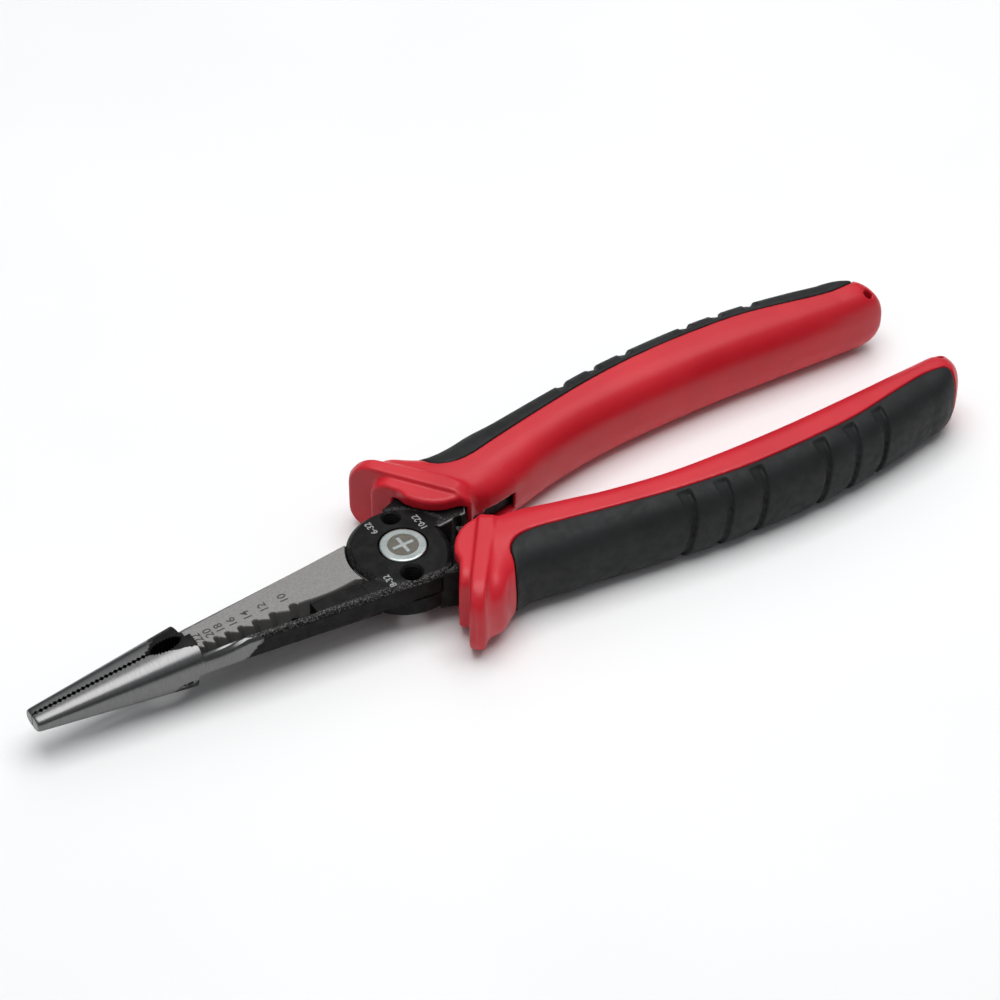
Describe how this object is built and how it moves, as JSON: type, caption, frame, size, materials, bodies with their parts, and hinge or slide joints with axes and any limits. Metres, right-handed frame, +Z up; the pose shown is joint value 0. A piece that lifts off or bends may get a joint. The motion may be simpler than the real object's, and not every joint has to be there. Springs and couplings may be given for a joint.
{
  "type": "wire stripper",
  "caption": "Long-nose wire stripper and cutter: two crossed steel halves on one pivot, toothed jaws, notched stripping blades, guarded two-colour grips.",
  "frame": {"origin": "centre of the tool's bounding box at its underside, jaws closed and lying flat on a guard's edge", "axes": "+X from the nose to the handle ends, +Y across the tool to handle A, +Z up along the pivot from the nut to the bolt head"},
  "size_m": [0.225, 0.056, 0.019],
  "materials": {
    "tool_steel": "black oxide, ground bright on the nose and blades",
    "bright_steel": "bright turned",
    "red_handle": "satin moulded",
    "soft_grip": "matt moulded"
  },
  "bodies": {
    "half_a": {"lever_a": "tool_steel", "handle_a": "red_handle", "grip_a": "soft_grip", "pivot_bolt": "bright_steel", "pivot_nut": "bright_steel"},
    "half_b": {"lever_b": "tool_steel", "handle_b": "red_handle", "grip_b": "soft_grip"}
  },
  "joints": [
    {"name": "jaws_open", "type": "hinge", "parent": "half_a", "child": "half_b", "pos_m": [-0.024, 0, 0.0095], "axis": [0, 0, -1], "range_deg": [0, 35]}
  ]
}
